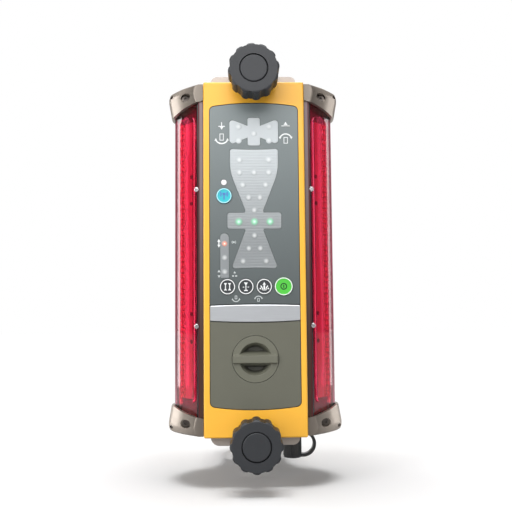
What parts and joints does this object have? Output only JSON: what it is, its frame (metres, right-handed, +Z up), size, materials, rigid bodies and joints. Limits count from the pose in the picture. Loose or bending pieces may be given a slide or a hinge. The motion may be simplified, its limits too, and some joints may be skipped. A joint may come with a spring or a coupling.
{
  "type": "laser receiver",
  "caption": "Mast-mounted laser receiver with red sensor windows on both sides, a lamp display and keypad, a pull-out battery holder and knob-driven mast clamps.",
  "frame": {"origin": "on the axis of the mast that the two clamps hold, at mid-height of the housing", "axes": "+Z up along the mast, -Y the way the display faces, +X to the right of someone who reads the display"},
  "size_m": [0.151, 0.201, 0.3492],
  "materials": {
    "yellow_housing": "fine moulded texture",
    "black_rubber": "matt",
    "steel": "plated",
    "panel_grey": "satin overlay",
    "milky_lens": "ribbed diffuser",
    "silver_trim": "satin, bare",
    "green_lamp": "clear",
    "amber_lamp": "clear",
    "red_lamp": "clear",
    "green_board": "solder mask",
    "black_plastic": "moulded",
    "blue_key": "satin",
    "dark_key": "satin",
    "green_key": "satin",
    "door_grey": "fine texture",
    "cell_jacket": "plain jacket",
    "frame_grey": "anodised",
    "red_window": "clear red, polished",
    "white_board": "solder mask",
    "sensor_dark": "dark epoxy",
    "champagne_metal": "metallic paint",
    "cast_aluminium": "bead blasted",
    "knob_black": "fine texture",
    "brass": "turned",
    "connector_metal": "anodised"
  },
  "bodies": {
    "housing": {"front_housing": "yellow_housing", "rear_housing": "yellow_housing", "housing_seal": "black_rubber", "housing_screws": "steel", "keypad_panel": "panel_grey", "tilt_lens": "milky_lens", "grade_lens": "milky_lens", "offset_lens": "milky_lens", "indicator_lens": "milky_lens", "name_bar": "silver_trim", "level_lamps": "green_lamp", "grade_lamps": "amber_lamp", "offset_lamps": "red_lamp", "tilt_lamps": "amber_lamp", "main_board": "green_board", "board_parts": "black_plastic", "board_screws": "steel", "battery_bay": "black_plastic", "bay_contacts": "steel", "side_frames": "frame_grey", "left_window": "red_window", "right_window": "red_window", "window_gaskets": "black_rubber", "sensor_carriers": "black_plastic", "sensor_boards": "white_board", "photodiodes": "sensor_dark", "window_screws": "steel", "upper_left_guard": "champagne_metal", "upper_right_guard": "champagne_metal", "lower_left_guard": "champagne_metal", "lower_right_guard": "champagne_metal", "guard_screws": "steel", "upper_bracket": "cast_aluminium", "lower_bracket": "cast_aluminium", "bracket_bolts": "steel", "connector": "connector_metal", "cap_strap": "black_rubber"},
    "upper_knob": {"upper_knob": "knob_black", "upper_knob_cap": "knob_black", "upper_screw": "steel"},
    "lower_knob": {"lower_knob": "knob_black", "lower_knob_cap": "knob_black", "lower_screw": "steel"},
    "upper_jaw": {"upper_jaw": "cast_aluminium", "upper_nut": "brass"},
    "lower_jaw": {"lower_jaw": "cast_aluminium", "lower_nut": "brass"},
    "battery_holder": {"battery_door": "door_grey", "door_seal": "black_rubber", "battery_tray": "black_plastic", "battery_cells": "cell_jacket", "cell_contacts": "steel"},
    "latch": {"latch_knob": "door_grey", "latch_tongue": "steel"},
    "wireless_key": {"wireless_key": "blue_key"},
    "first_key": {"first_key": "dark_key"},
    "second_key": {"second_key": "dark_key"},
    "third_key": {"third_key": "dark_key"},
    "power_key": {"power_key": "green_key"},
    "dust_cap": {"dust_cap": "black_rubber"}
  },
  "joints": [
    {"name": "upper_knob_turn", "type": "hinge", "parent": "housing", "child": "upper_knob", "pos_m": [0, -0.15237, 0.152], "axis": [0, 1, 0], "range_deg": [0, 1440]},
    {"name": "upper_jaw_slide", "type": "slide", "parent": "housing", "child": "upper_jaw", "axis": [0, 1, 0], "range_m": [0, 0.012]},
    {"name": "lower_knob_turn", "type": "hinge", "parent": "housing", "child": "lower_knob", "pos_m": [0, -0.15237, -0.152], "axis": [0, 1, 0], "range_deg": [0, 1440]},
    {"name": "lower_jaw_slide", "type": "slide", "parent": "housing", "child": "lower_jaw", "axis": [0, 1, 0], "range_m": [0, 0.012]},
    {"name": "battery_pull", "type": "slide", "parent": "housing", "child": "battery_holder", "axis": [0, -1, 0], "range_m": [0, 0.066]},
    {"name": "latch_turn", "type": "hinge", "parent": "battery_holder", "child": "latch", "pos_m": [0, -0.13437, -0.0855], "axis": [0, 1, 0], "range_deg": [0, 90]},
    {"name": "wireless_key_press", "type": "slide", "parent": "housing", "child": "wireless_key", "axis": [0, 1, 0], "range_m": [0, 0.0006], "stiffness_N_per_m": 2500},
    {"name": "first_key_press", "type": "slide", "parent": "housing", "child": "first_key", "axis": [0, 1, 0], "range_m": [0, 0.0006], "stiffness_N_per_m": 2500},
    {"name": "second_key_press", "type": "slide", "parent": "housing", "child": "second_key", "axis": [0, 1, 0], "range_m": [0, 0.0006], "stiffness_N_per_m": 2500},
    {"name": "third_key_press", "type": "slide", "parent": "housing", "child": "third_key", "axis": [0, 1, 0], "range_m": [0, 0.0006], "stiffness_N_per_m": 2500},
    {"name": "power_key_press", "type": "slide", "parent": "housing", "child": "power_key", "axis": [0, 1, 0], "range_m": [0, 0.0006], "stiffness_N_per_m": 2500},
    {"name": "dust_cap_pull", "type": "slide", "parent": "housing", "child": "dust_cap", "axis": [0, 0, -1], "range_m": [0, 0.014], "deforming": ["cap_strap"]}
  ],
  "couplings": [
    {"joint": "upper_jaw_slide", "follows": "upper_knob_turn", "m_per_rad": 0.00047746},
    {"joint": "lower_jaw_slide", "follows": "lower_knob_turn", "m_per_rad": 0.00047746}
  ]
}
